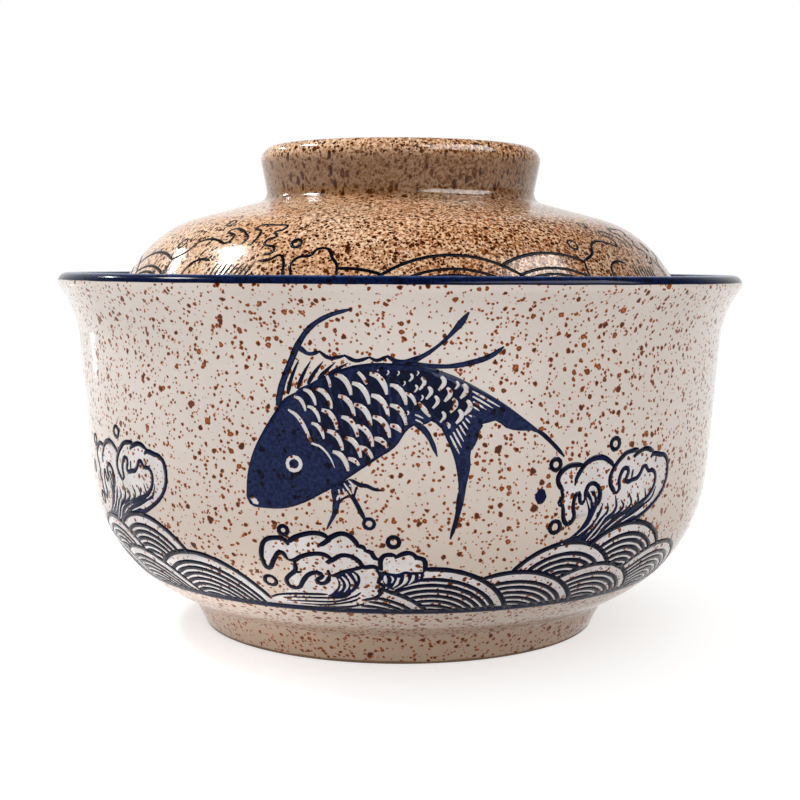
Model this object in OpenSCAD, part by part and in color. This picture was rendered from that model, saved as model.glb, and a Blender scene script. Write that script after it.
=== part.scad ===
// Lidded noodle bowl in glazed stoneware.
// Two thrown and fired pieces: a deep bowl on a foot ring, and a domed lid with a ring handle
// whose rounded edge drops inside the flared rim and rests on the slope there.
// Both are turned from one outline of straight stretches with rounded corners.
// The bowl stands on z = 0 with its axis on Z.

/* [Bowl] */
// Diameter across the outside of the rim
rim_d = 180; // [177:1:182]
// Height from the table to the top of the rim
bowl_h = 93; // [91:1:96]
// Thickness of the wall, and of the rounded lip at its end
wall = 4.8; // [4.4:0.2:5.2]
// Radius of the sweep that turns the wall out into the rim
flare_r = 24.5; // [22:0.5:28]
// Slope of the wall at the lip, in degrees from level
flare_slope = 53.5; // [50:0.5:56]
// Slope of the upper wall
wall_slope = 86; // [85:0.5:87]
// Height at which the upper wall gives way to the belly
waist_h = 44.4; // [43.2:0.2:47]
// Slope of the belly just under the waist
belly_slope = 81.5; // [80.5:0.5:83]
// Radius of the soft bend at the waist
waist_r = 90; // [70:1:100]
// Radius of the belly outside
belly_r = 38.5; // [36:0.5:39.5]
// Radius of the well inside
well_r = 33; // [30:0.5:33.5]
// Thickness of the floor at its centre
floor_t = 5; // [4:0.2:5.6]
// Fall of the floor towards its centre, in degrees
floor_slope = 1.5; // [1:0.5:2.5]

/* [Foot ring] */
// Diameter on the table
foot_d = 105; // [103:1:107]
// Diameter where the foot meets the belly
foot_top_d = 112.6; // [111:0.2:114]
// Height of the foot outside
foot_h = 7.8; // [7:0.2:8.4]
// Slope of the belly where it leaves the foot
foot_slope = 28; // [26:1:30]
// Width of the ring that touches the table
foot_w = 5.6; // [5:0.2:6.4]
// Depth of the hollow inside the foot ring
foot_recess = 5.4; // [5:0.2:6]
// Draft of the ring's inner face over that depth
foot_draft = 1.2; // [0.6:0.2:2]
// Radius of the cove between foot and belly
foot_cove = 4; // [2:0.5:5]
// Radius on the edges that touch the table
foot_edge = 0.9; // [0.5:0.1:1.4]
// Radius in the corner of the hollow
foot_recess_r = 2.5; // [1.5:0.5:3]

/* [Lid] */
// Diameter across the edge
lid_d = 160.4; // [160:0.2:161.4]
// Height from the edge to the top of the ring handle
lid_h = 48; // [46:0.5:50]
// Thickness of the wall, and of its rounded edge
lid_wall = 4.5; // [4:0.1:5]
// Slope of the dome near its edge
skirt_slope = 54; // [52:1:57]
// Slope of the dome near the ring handle
dome_slope = 15; // [13:1:17]
// Radius of the shoulder between the two
shoulder_r = 28; // [24:0.5:31]
// Thickness of the crown inside the ring handle
crown_t = 4.8; // [4.4:0.2:5.4]
// Radius of the bend from the underside of the dome to the flat under the crown
crown_r = 30; // [20:1:40]

/* [Ring handle] */
// Diameter at its widest, under the rounded top
ring_d = 76; // [74:0.2:78]
// Diameter at the neck, where it meets the dome
neck_d = 70.6; // [69:0.2:72]
// Height above the dome
ring_h = 14.1; // [13:0.1:16]
// Width of the ring at the top
ring_w = 6.6; // [6.4:0.1:7.2]
// Draft of its inner face
ring_draft = 1.4; // [1:0.2:2]
// Radius on the outer edge of its top
ring_top_r = 3.6; // [3:0.2:3.8]
// Radius on the inner edge of its top
ring_lip_r = 1.6; // [1:0.2:1.8]
// Radius of the cove between neck and dome
neck_cove = 3; // [2:0.5:4]
// Radius in the corner of the hollow
ring_recess_r = 3; // [2:0.5:4]

/* [Fit] */
// Gap between the lid's edge and the bowl where the lid rests
seat_gap = 0.3; // [0.2:0.05:0.5]

/* [Hidden] */
$fn = 160;
// Largest turn between two points of a rounded corner, in degrees
arc_step = 4;
// A wall's end is rounded by this share of its thickness at each corner, so that a thread of flat is left
end_share = 0.49;

// Direction of a heading in degrees from level, and the direction square to it on its left
function along(heading) = [cos(heading), sin(heading)];
function left_of(heading) = [-sin(heading), cos(heading)];
function cross2(a, b) = a[0] * b[1] - a[1] * b[0];

// Where the line through p with heading a meets the line through q with heading b
function meet(p, a, q, b) = p + along(a) * cross2(q - p, along(b)) / cross2(along(a), along(b));

// The points of one corner p between its neighbours, rounded to radius r
function corner(before, p, after, r) =
    let (
        u = (before - p) / norm(before - p),
        v = (after - p) / norm(after - p),
        half = acos(u * v) / 2,
        reach = r / tan(half),
        centre = p + (u + v) / norm(u + v) * r / sin(half),
        first = p + u * reach - centre,
        last = p + v * reach - centre,
        turn = atan2(cross2(first, last), first * last),
        steps = ceil(abs(turn) / arc_step)
    )
    [for (i = [0 : steps])
        let (a = turn * i / steps)
        centre + [first[0] * cos(a) - first[1] * sin(a), first[0] * sin(a) + first[1] * cos(a)]];

// A closed outline from corners given as [place, radius]
function outline(corners) =
    let (n = len(corners))
    [for (i = [0 : n - 1])
        let (here = corners[i])
        each here[1] == 0 ? [here[0]] :
            corner(corners[(i + n - 1) % n][0], here[0], corners[(i + 1) % n][0], here[1])];

// Bowl: the outside from the rim down
lip_r = wall / 2;
lip_centre = [rim_d / 2 - lip_r, bowl_h - lip_r];
flare_end = lip_centre - lip_r * left_of(flare_slope);
flare_reach = flare_r * tan((wall_slope - flare_slope) / 2);
flare_corner = flare_end - flare_reach * along(flare_slope);
waist_corner = meet(flare_corner, wall_slope, [0, waist_h], 0);
foot_top = [foot_top_d / 2, foot_h];
belly_corner = meet(waist_corner, belly_slope, foot_top, foot_slope);
lip_outer = flare_end + lip_r * along(flare_slope);

// Bowl: the inside, one wall thickness in, down to the floor
lip_inner = lip_outer + wall * left_of(flare_slope);
inner_wall = flare_corner + wall * left_of(wall_slope);
inner_belly = waist_corner + wall * left_of(belly_slope);
inner_flare_corner = meet(lip_inner, flare_slope, inner_wall, wall_slope);
inner_waist_corner = meet(inner_wall, wall_slope, inner_belly, belly_slope);
floor_centre = [0, foot_recess + floor_t];
well_corner = meet(floor_centre, floor_slope, inner_belly, belly_slope);

// Lid: it comes to rest where its rounded edge meets the inner sweep of the rim
edge_r = lid_wall / 2;
flare_centre = flare_end - flare_r * left_of(flare_slope);
edge_centre_r = lid_d / 2 - edge_r;
seat_reach = flare_r + wall + seat_gap + edge_r;
edge_centre_z = flare_centre[1] + sqrt(seat_reach ^ 2 - (flare_centre[0] - edge_centre_r) ^ 2);
edge_centre = [edge_centre_r, edge_centre_z];
ring_top = edge_centre_z - edge_r + lid_h;
neck_z = ring_top - ring_h;
crown_z = neck_z + crown_t - lid_wall;
neck = [neck_d / 2, neck_z];
skirt_top = edge_centre + edge_r * left_of(-skirt_slope);
shoulder = meet(neck, -dome_slope, skirt_top, -skirt_slope);
edge_outer = skirt_top + edge_r * along(-skirt_slope);
edge_inner = edge_outer - lid_wall * left_of(-skirt_slope);
under_dome = neck - lid_wall * left_of(-dome_slope);
inner_shoulder = meet(under_dome, -dome_slope, edge_inner, -skirt_slope);
under_crown = meet(under_dome, -dome_slope, [0, crown_z - crown_t], 0);
ring_inner = ring_d / 2 - ring_w;

module bowl() {
    color("antiquewhite")
    rotate_extrude()
    polygon(outline([
        [floor_centre, 0],
        [[0, foot_recess], 0],
        [[foot_d / 2 - foot_w - foot_draft, foot_recess], foot_recess_r],
        [[foot_d / 2 - foot_w, 0], foot_edge],
        [[foot_d / 2, 0], foot_edge],
        [foot_top, foot_cove],
        [belly_corner, belly_r],
        [waist_corner, waist_r],
        [flare_corner, flare_r],
        [lip_outer, wall * end_share],
        [lip_inner, wall * end_share],
        [inner_flare_corner, flare_r + wall],
        [inner_waist_corner, waist_r - wall],
        [well_corner, well_r]
    ]));
}

module lid() {
    color("tan")
    rotate_extrude()
    polygon(outline([
        [[0, crown_z], 0],
        [[0, crown_z - crown_t], 0],
        [under_crown, crown_r],
        [inner_shoulder, shoulder_r - lid_wall],
        [edge_inner, lid_wall * end_share],
        [edge_outer, lid_wall * end_share],
        [shoulder, shoulder_r],
        [neck, neck_cove],
        [[ring_d / 2, ring_top], ring_top_r],
        [[ring_inner, ring_top], ring_lip_r],
        [[ring_inner - ring_draft, crown_z], ring_recess_r]
    ]));
}

bowl();
lid();
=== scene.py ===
# Lidded stoneware noodle bowl: two thrown pieces, cobalt ornament on both, and a plain studio.
import bisect
import itertools
import math

import bmesh
import bpy
from mathutils import Matrix, Vector, noise
from mathutils.geometry import interpolate_bezier


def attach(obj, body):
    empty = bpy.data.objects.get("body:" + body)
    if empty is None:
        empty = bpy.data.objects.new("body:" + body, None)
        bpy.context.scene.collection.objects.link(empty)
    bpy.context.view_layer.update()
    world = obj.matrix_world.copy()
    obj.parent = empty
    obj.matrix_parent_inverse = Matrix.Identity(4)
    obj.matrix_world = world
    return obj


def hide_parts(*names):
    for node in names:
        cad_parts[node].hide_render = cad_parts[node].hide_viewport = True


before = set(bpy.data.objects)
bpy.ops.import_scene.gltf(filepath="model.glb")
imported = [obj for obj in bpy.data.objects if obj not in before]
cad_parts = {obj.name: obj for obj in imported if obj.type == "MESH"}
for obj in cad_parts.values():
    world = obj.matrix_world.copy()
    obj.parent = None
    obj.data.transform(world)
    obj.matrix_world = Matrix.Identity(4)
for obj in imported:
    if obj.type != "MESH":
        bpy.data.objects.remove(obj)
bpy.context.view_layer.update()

# The pieces and their paint are drawn in millimetres and degrees, and become metres when they are finished.
MM = 0.001
TURN = 2 * math.pi
WHEEL_STEPS = 200
ARC_STEP = math.radians(1.5)
# Points nearer than this are one
TOUCH = 1e-4


# Outlines of the thrown pieces, as on the CAD
def along(slope):
    return Vector((math.cos(math.radians(slope)), math.sin(math.radians(slope))))


def left_of(slope):
    return along(slope + 90)


def meet(p, slope_p, q, slope_q):
    """Where the line through p meets the line through q."""
    u, v = along(slope_p), along(slope_q)
    return p + u * ((q - p).cross(v) / u.cross(v))


# Sizes of the bowl, its foot, the lid and the ring handle
RIM_R, BOWL_H, WALL, WAIST_H, FLOOR_T = 90, 93, 4.8, 44.4, 5
FLARE_SLOPE, WALL_SLOPE, BELLY_SLOPE, FLOOR_SLOPE = 53.5, 86, 81.5, 1.5
FLARE_R, WAIST_R, BELLY_R, WELL_R = 24.5, 90, 38.5, 33
FOOT_R, FOOT_W, FOOT_RECESS, FOOT_DRAFT = 52.5, 5.6, 5.4, 1.2
FOOT_TOP, FOOT_SLOPE = Vector((56.3, 7.8)), 28
FOOT_COVE, FOOT_EDGE, FOOT_RECESS_R = 4, 0.9, 2.5
LID_R, LID_H, LID_WALL, CROWN_T, SEAT_GAP = 80.2, 48, 4.5, 4.8, 0.3
SKIRT_SLOPE, DOME_SLOPE, SHOULDER_R, CROWN_R = -54, -15, 28, 30
RING_R, NECK_R, RING_H, RING_W, RING_DRAFT = 38, 35.3, 14.1, 6.6, 1.4
RING_TOP_R, RING_LIP_R, NECK_COVE, RING_RECESS_R = 3.6, 1.6, 3, 3
# A wall's end is rounded by this share of its thickness at each corner
END_SHARE = 0.49
LIP = Vector((RIM_R - WALL / 2, BOWL_H - WALL / 2))
FLARE_END = LIP - left_of(FLARE_SLOPE) * WALL / 2


def bowl_corners():
    """Corners of the bowl's outline as (place, radius), from under the foot, over the lip, to the floor."""
    reach = FLARE_R * math.tan(math.radians(WALL_SLOPE - FLARE_SLOPE) / 2)
    flare = FLARE_END - along(FLARE_SLOPE) * reach
    waist = meet(flare, WALL_SLOPE, Vector((0, WAIST_H)), 0)
    lip_out = FLARE_END + along(FLARE_SLOPE) * WALL / 2
    lip_in = lip_out + left_of(FLARE_SLOPE) * WALL
    inner_wall = flare + left_of(WALL_SLOPE) * WALL
    inner_belly = waist + left_of(BELLY_SLOPE) * WALL
    floor = Vector((0, FOOT_RECESS + FLOOR_T))
    foot_in = FOOT_R - FOOT_W
    return [
        (Vector((0, FOOT_RECESS)), 0), (Vector((foot_in - FOOT_DRAFT, FOOT_RECESS)), FOOT_RECESS_R),
        (Vector((foot_in, 0)), FOOT_EDGE), (Vector((FOOT_R, 0)), FOOT_EDGE), (FOOT_TOP, FOOT_COVE),
        (meet(waist, BELLY_SLOPE, FOOT_TOP, FOOT_SLOPE), BELLY_R), (waist, WAIST_R), (flare, FLARE_R),
        (lip_out, WALL * END_SHARE), (lip_in, WALL * END_SHARE),
        (meet(lip_in, FLARE_SLOPE, inner_wall, WALL_SLOPE), FLARE_R + WALL),
        (meet(inner_wall, WALL_SLOPE, inner_belly, BELLY_SLOPE), WAIST_R - WALL),
        (meet(floor, FLOOR_SLOPE, inner_belly, BELLY_SLOPE), WELL_R), (floor, 0),
    ]


def lid_corners():
    """Corners of the lid's outline, from under its crown, round its edge, to the hollow of the ring handle.
    Its edge comes to rest on the inner sweep of the rim."""
    sweep = LIP - left_of(FLARE_SLOPE) * (WALL / 2 + FLARE_R)
    edge_r = LID_WALL / 2
    rest = FLARE_R + WALL + SEAT_GAP + edge_r
    edge = Vector((LID_R - edge_r, 0))
    edge.y = sweep.y + math.sqrt(rest ** 2 - (sweep.x - edge.x) ** 2)
    ring_top = edge.y - edge_r + LID_H
    neck = Vector((NECK_R, ring_top - RING_H))
    crown = neck.y + CROWN_T - LID_WALL
    under_crown = Vector((0, crown - CROWN_T))
    skirt = edge + left_of(SKIRT_SLOPE) * edge_r
    edge_out = skirt + along(SKIRT_SLOPE) * edge_r
    edge_in = edge_out - left_of(SKIRT_SLOPE) * LID_WALL
    under_dome = neck - left_of(DOME_SLOPE) * LID_WALL
    ring_in = RING_R - RING_W
    return [
        (under_crown, 0), (meet(under_dome, DOME_SLOPE, under_crown, 0), CROWN_R),
        (meet(under_dome, DOME_SLOPE, edge_in, SKIRT_SLOPE), SHOULDER_R - LID_WALL),
        (edge_in, LID_WALL * END_SHARE), (edge_out, LID_WALL * END_SHARE),
        (meet(neck, DOME_SLOPE, skirt, SKIRT_SLOPE), SHOULDER_R), (neck, NECK_COVE),
        (Vector((RING_R, ring_top)), RING_TOP_R), (Vector((ring_in, ring_top)), RING_LIP_R),
        (Vector((ring_in - RING_DRAFT, crown)), RING_RECESS_R), (Vector((0, crown)), 0),
    ]


def draw_outline(corners):
    """An outline in the XZ plane: stretches pulled out from a point, corners swung round their centres."""
    bm = bmesh.new()
    tip = bmesh.ops.create_vert(bm, co=corners[0][0].to_3d().xzy)["vert"][0]

    def pull(to):
        new = bmesh.ops.extrude_vert_indiv(bm, verts=[tip])["verts"][0]
        new.co = to.to_3d().xzy
        return new

    for (before, _), (place, radius), (after, _) in zip(corners, corners[1:], corners[2:]):
        u, v = (before - place).normalized(), (after - place).normalized()
        half = u.angle(v) / 2
        centre = place + (u + v).normalized() * radius / math.sin(half)
        turn = math.copysign(math.pi - 2 * half, v.cross(u))
        tip = pull(place + u * radius / math.tan(half))
        swung = bmesh.ops.spin(bm, geom=[tip], cent=centre.to_3d().xzy, axis=(0, 1, 0), angle=-turn,
                               steps=math.ceil(abs(turn) / ARC_STEP))
        tip = [g for g in swung["geom_last"] if isinstance(g, bmesh.types.BMVert)][0]
    pull(corners[-1][0])
    return bm


def throw(bm):
    """Turns an outline round the wheel's axis into a closed piece."""
    bmesh.ops.spin(bm, geom=bm.verts[:] + bm.edges[:], cent=(0, 0, 0), axis=(0, 0, 1), angle=TURN,
                   steps=WHEEL_STEPS, use_merge=True)
    bmesh.ops.remove_doubles(bm, verts=bm.verts[:], dist=TOUCH)
    bmesh.ops.recalc_face_normals(bm, faces=bm.faces[:])
    for face in bm.faces:
        face.smooth = True


def finish_piece(bm, name, material, body, slot, *nodes):
    """Makes the mesh's object in metres and fixes it to its CAD body."""
    bmesh.ops.scale(bm, vec=(MM, MM, MM), verts=bm.verts[:])
    mesh = bpy.data.meshes.new(name)
    bm.to_mesh(mesh)
    bm.free()
    mesh.materials.append(material)
    piece = bpy.data.objects.new(name, mesh)
    bpy.context.scene.collection.objects.link(piece)
    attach(piece, body)
    if nodes:
        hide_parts(*nodes)


# Laying paint on a wall
GIRTH_R = 80
QUARTER = TURN * GIRTH_R / 4
STEP, COVER_STEP = 0.8, 2
# How far each kind of paint stands above the glaze, and how deep it goes
SLIP_LIFT, PAINT_LIFT, BODY_LIFT, TAIL_LIFT, MARK_LIFT, PAINT_DEPTH = 0.012, 0.024, 0.040, 0.043, 0.048, 0.07
# Each stroke lies a hair above the one before, and each patch of slip too: neighbours share no surface
HAIRS = itertools.cycle([i * 0.0008 for i in range(16)])
SLIP_HAIR = 0.0006
# How far a cover stays inside its shape's edge
SLIP_INSET, SCALED_INSET = 0.5, 0.2
# A stroke's width wavers by this share, as fast as this along it, and a broad stroke has a middle of its own
WAVER, WAVER_RATE, WAVER_SEED, BROAD = 0.16, 0.45, 3.1, 1.3


class Wall:
    """The outside of a thrown piece as a sheet: x is measured round it from the front, at the radius GIRTH_R,
    and s up its outline from the height where the ornament starts."""

    def __init__(self, outline, start):
        self.path = [Vector((v.co.x, v.co.z)) for v in outline.verts]
        self.run = [0]
        for a, b in zip(self.path, self.path[1:]):
            self.run.append(self.run[-1] + (b - a).length)
        ends = [self.path[0]] + self.path + [self.path[-1]]
        self.out = [Vector(((c - a).y, (a - c).x)).normalized() for a, c in zip(ends, ends[2:])]
        self.zero = 0
        self.zero = self.level(start)

    def level(self, z):
        """Where the outside first rises past a height."""
        i = next(i for i, (a, b) in enumerate(zip(self.path, self.path[1:])) if a.y < z <= b.y)
        a, b = self.path[i], self.path[i + 1]
        return self.run[i] + (z - a.y) / (b.y - a.y) * (b - a).length - self.zero

    def at(self, s):
        i = min(max(bisect.bisect(self.run, s + self.zero) - 1, 0), len(self.path) - 2)
        share = (s + self.zero - self.run[i]) / (self.run[i + 1] - self.run[i])
        return self.path[i].lerp(self.path[i + 1], share), self.out[i].lerp(self.out[i + 1], share)

    def place(self, spot, lift):
        point, out = self.at(spot.y)
        point = point + out * lift
        angle = spot.x / GIRTH_R
        return Vector((point.x * math.sin(angle), -point.x * math.cos(angle), point.y))

    def squeeze(self, s):
        """How much a length along x shrinks at this height."""
        return self.at(s)[0].x / GIRTH_R


def spots(points, x=0, s=0):
    """Points as spots on the sheet, moved by x and s."""
    return [Vector((x + p[0], s + p[1])) for p in points]


def flow(points):
    """A smooth line through the points, as spots about STEP apart."""
    points = spots(points)
    points = [2 * points[0] - points[1]] + points + [2 * points[-1] - points[-2]]
    line = []
    for a, b, c, d in zip(points, points[1:], points[2:], points[3:]):
        span = (c - b).length
        pieces = max(2, math.ceil(span / STEP))
        line += interpolate_bezier(b, b + (c - a).normalized() * span / 3,
                                   c - (d - b).normalized() * span / 3, c, pieces + 1)[:-1]
    return [p.to_2d() for p in line] + [points[-2]]


def arc(centre, rx, ry, start, end):
    """Spots along a round arc, its angles in degrees."""
    count = max(6, math.ceil(math.radians(abs(end - start)) * max(rx, ry) / STEP))
    angles = [math.radians(start + (end - start) * i / count) for i in range(count + 1)]
    return [Vector((centre[0] + rx * math.cos(a), centre[1] + ry * math.sin(a))) for a in angles]


def inside(spot, shape):
    odd = False
    for a, b in zip(shape, shape[1:] + shape[:1]):
        if (a.y > spot.y) != (b.y > spot.y) and spot.x < a.x + (b.x - a.x) * (spot.y - a.y) / (b.y - a.y):
            odd = not odd
    return odd


def in_view(line, fronts, floor):
    """The stretches of a line that no shape in front hides, each run on by one spot under what hides it."""
    stretches, stretch = [], []
    for spot in line:
        stretch.append(spot)
        if spot.y < floor or any(inside(spot, shape) for shape in fronts):
            if len(stretch) > 2:
                stretches.append(stretch)
            stretch = [spot]
    if len(stretch) > 2:
        stretches.append(stretch)
    return stretches


def face_out(bm, faces):
    """Turns a patch that still lies flat on the sheet so that it faces out of the wall."""
    for face in faces:
        face.normal_update()
    if sum(face.normal.z * face.calc_area() for face in faces) < 0:
        bmesh.ops.reverse_faces(bm, faces=faces)


def lay(bm, wall, columns, rows, spot, lift):
    """A patch of paint: a grid spread on the wall, where spot gives the place of its share (u, v). Its rim is
    marked, because paint gathers there."""
    lift += next(HAIRS)
    rim = bm.verts.layers.float.get("rim") or bm.verts.layers.float.new("rim")
    verts = bmesh.ops.create_grid(bm, x_segments=columns, y_segments=rows, size=0.5)["verts"]
    for vert in verts:
        u, v = vert.co.x + 0.5, vert.co.y + 0.5
        vert.co = spot(u, v).to_3d()
        vert[rim] = 1.0 if min(u, 1 - u, v, 1 - v) < TOUCH else 0.0
    face_out(bm, list(dict.fromkeys(face for vert in verts for face in vert.link_faces)))
    for vert in verts:
        vert.co = wall.place(vert.co.to_2d(), lift)


def brush(bm, wall, line, width, lift=PAINT_LIFT, ends=(0.5, 0.5), closed=False):
    """A brush line along the spots. Width is a number, or widths spread evenly along it; ends are the shares
    of the width left at its two tips."""
    widths = width if isinstance(width, list) else [width, width]
    last = len(line) - 1
    edges = []
    for i, spot in enumerate(line):
        before = line[i - 1] if i else line[-2] if closed else spot
        after = line[i + 1] if i < last else line[1] if closed else spot
        k = wall.squeeze(spot.y)
        heading = Vector(((after - before).x * k, (after - before).y)).normalized()
        place = i / last * (len(widths) - 1)
        j = min(int(place), len(widths) - 2)
        w = widths[j] + (widths[j + 1] - widths[j]) * (place - j)
        w *= 1 + WAVER * noise.noise(Vector((spot.x * WAVER_RATE, spot.y * WAVER_RATE, WAVER_SEED)))
        if not closed:
            w *= min(1, ends[0] + (1 - ends[0]) * i / 2, ends[1] + (1 - ends[1]) * (last - i) / 2)
        across = Vector((-heading.y / k, heading.x)) * w / 2
        edges.append((spot - across, spot + across))
    if closed:
        edges[-1] = edges[0]
    rows = 2 if max(widths) > BROAD else 1
    lay(bm, wall, last, rows, lambda u, v: edges[round(u * last)][0].lerp(edges[round(u * last)][1], v), lift)


def fill(bm, wall, side_a, side_b, cell=1.6):
    """Paint between two smooth sides that run the same way."""
    def even(points):
        line = flow(points)
        run = [0]
        for a, b in zip(line, line[1:]):
            run.append(run[-1] + (b - a).length)

        def at(u):
            i = min(max(bisect.bisect(run, u * run[-1]) - 1, 0), len(line) - 2)
            return line[i].lerp(line[i + 1], (u * run[-1] - run[i]) / max(run[i + 1] - run[i], 1e-6))
        return at, run[-1]

    (a, long_a), (b, long_b) = even(side_a), even(side_b)
    broad = max((a(u / 8) - b(u / 8)).length for u in range(9))
    columns, rows = math.ceil(max(long_a, long_b) / cell), max(1, math.ceil(broad / cell))
    lay(bm, wall, columns, rows, lambda u, v: a(u).lerp(b(u), v), PAINT_LIFT)


def cover(bm, wall, shape, inset, lift, gathered=0.0):
    """Covers the part of a shape above s = 0, cut small enough to follow the wall. The cover stops short of
    the shape's edge by the inset, and gathered is how thick its paint is."""
    flat = bmesh.new()
    rim = flat.verts.layers.float.new("rim")
    first = tip = bmesh.ops.create_vert(flat, co=shape[0].to_3d())["vert"][0]
    for spot in shape[1:]:
        tip = bmesh.ops.extrude_vert_indiv(flat, verts=[tip])["verts"][0]
        tip.co = spot.to_3d()
    bmesh.ops.contextual_create(flat, geom=[first, tip])
    bmesh.ops.edgeloop_fill(flat, edges=flat.edges[:])
    border = bmesh.ops.inset_region(flat, faces=flat.faces[:], thickness=inset, use_boundary=True)["faces"]
    bmesh.ops.delete(flat, geom=border, context="FACES")

    def cut(place, way, clear=False):
        everything = flat.verts[:] + flat.edges[:] + flat.faces[:]
        bmesh.ops.bisect_plane(flat, geom=everything, plane_co=place, plane_no=way, clear_inner=clear)
    cut((0, 0, 0), (0, 1, 0), True)
    for x in range(math.floor(min(p.x for p in shape)), math.ceil(max(p.x for p in shape)), COVER_STEP):
        cut((x, 0, 0), (1, 0, 0))
    for s in range(COVER_STEP, math.ceil(max(p.y for p in shape)), COVER_STEP):
        cut((0, s, 0), (0, 1, 0))
    face_out(flat, flat.faces[:])
    for vert in flat.verts:
        vert.co = wall.place(vert.co.to_2d(), lift)
        vert[rim] = 0.0 if vert.is_boundary else gathered
    sheet = bpy.data.meshes.new("sheet")
    flat.to_mesh(sheet)
    flat.free()
    bm.from_mesh(sheet)
    bpy.data.meshes.remove(sheet)


def thicken(bm):
    """Gives the laid paint its depth, as closed shells that are smooth on top and sharp at their edges."""
    bmesh.ops.remove_doubles(bm, verts=bm.verts[:], dist=TOUCH)
    bm.normal_update()
    tops = bm.faces[:]
    bmesh.ops.solidify(bm, geom=tops, thickness=PAINT_DEPTH)
    for face in tops:
        face.smooth = True


def ring(centre, radius, squash=1.0):
    return arc(centre, radius, radius * squash, 0, 360)


# Ornament of the bowl
FAN_BAND, FAN_PITCH, FAN_HEART, FAN_EDGE, FAN_LINE = 2.9, 1.72, 2.6, 1.28, 1.16


def fan(x, s, radius, stretch=1.0, plain=FAN_BAND):
    """A wave fan: its outer line, a plain band, then lines to its heart. Gives its shape and its lines."""
    radii, r = [radius], radius - plain
    while r > FAN_HEART:
        radii.append(r)
        r -= FAN_PITCH
    lines = [(arc((x, s), r * stretch, r, 180, 0), FAN_EDGE if r == radius else FAN_LINE) for r in radii]
    return arc((x, s), radius * stretch, radius, 180, -180)[:-1], lines


def between(a, b, share):
    return tuple(p + (q - p) * share for p, q in zip(a, b))


def spread(first, last, count):
    """Lines spread evenly from a first one to a last one."""
    return [[between(a, b, i / max(1, count - 1)) for a, b in zip(first, last)] for i in range(count)]


def fuller(width, by):
    """A stroke's width, or its widths, made larger by a share."""
    return [w * by for w in width] if isinstance(width, list) else width * by


def drawn(shape, lines, x=0, s=0, weight=1):
    """A shape and the lines in it, given as (points, width), moved by x and s."""
    return spots(shape, x, s), [(flow(spots(points, x, s)), fuller(width, weight)) for points, width in lines]


CREST_WEIGHT = 1.12


def crest(x, s):
    """A breaking wave of two lobes that curl over, with ribs that gather at its root."""
    lines = [
        ([(-1.1, 10.1), (-1.7, 9.2), (-2.4, 9.6), (-2.9, 11.6), (-3.8, 10.9), (-4.1, 8.3), (-3.6, 6.2),
          (-4.9, 4.5), (-6.2, 5.6), (-6.6, 7.6), (-6.9, 9.5)], 1),
        ([(-6.6, 8.6), (-7.8, 9.8), (-7, 11), (-7.6, 12.6)], 1),
        ([(-6.9, 12.2), (-8.4, 14.4), (-8.1, 16.3), (-5.7, 18), (-2, 18)], 1.15),
        ([(-4.1, 13.4), (-3.6, 15.4), (-1, 18.6), (2.7, 19.4), (5.8, 17.8), (6.6, 16.7)],
          [0.8, 1.15, 1.2, 1]),
        ([(-1.1, 9.8), (-1, 11.8), (-0.3, 13.3), (0.8, 13.6), (2.1, 12.9), (3, 11.5), (3.1, 9.7),
          (2.7, 8.2)], 1),
        ([(7.7, 10.5), (5.7, 13.3), (6.3, 16.2), (9.7, 19.6), (12.2, 20.2), (14.2, 20.4)], 1.1),
        ([(12.7, 18.5), (13.6, 19.4), (16.9, 20.3), (19.8, 19.2)], 1.1),
        ([(18.7, 17.9), (19.6, 18.8), (22.8, 18.3), (24.1, 18.1), (25.7, 16.4), (25.9, 12.2), (23.5, 8.3),
          (18.3, 4.9), (13.9, 3.1)], [1.1, 1.1, 0.9, 0.9, 1.2]),
        ([(7.7, 10.5), (8.7, 11.6), (8.4, 13.6), (9.5, 16.1), (10.8, 16.2), (11.2, 15.2), (10.6, 13.8),
          (11.2, 13), (12.7, 13.4), (14.2, 13.6), (15.3, 14.6), (16.2, 16), (17.2, 16.1), (18.2, 14.9),
          (19.8, 14.9), (21.1, 13.6), (20.8, 11), (19, 8.8), (16.5, 7.5), (10.1, 5)], [1, 1, 0.9, 1.2]),
        ([(12.7, 15.8), (12.4, 13.8)], 0.8),
    ]
    tops = [
        (4.2, 8.7), (5.5, 8.6), (7.7, 10.2), (9.6, 8.9), (12.3, 10), (14.8, 10.1), (17.5, 10.9),
        (21.8, 10.9)
    ]
    roots = spread([(3.4, 6.4), (1.8, 4.2), (-1.6, 1)], [(20.4, 8.2), (13.8, 5), (6, 1.4)], len(tops))
    lines += [([top] + root, [0.45, 0.8, 1, 1.4]) for top, root in zip(tops, roots)]
    shape = [
        (-6.6, -0.4), (-1.4, 2.6), (-0.6, 6), (-3.2, 5), (-4.9, 3.9), (-6.8, 5.6), (-8.3, 9.6), (-9, 14.6),
        (-6.6, 18.2), (-2, 18.6), (1, 20), (4.2, 19.7), (6.4, 17.8), (9.2, 20), (14, 21), (17.4, 20.9),
        (20.8, 19.6), (25, 18.4), (26.5, 16), (26.4, 12), (24, 7.9), (18.6, 4.4), (13.9, 2.4), (3.3, -1.8)
    ]
    return drawn(shape, lines, x, s, CREST_WEIGHT)


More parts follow.
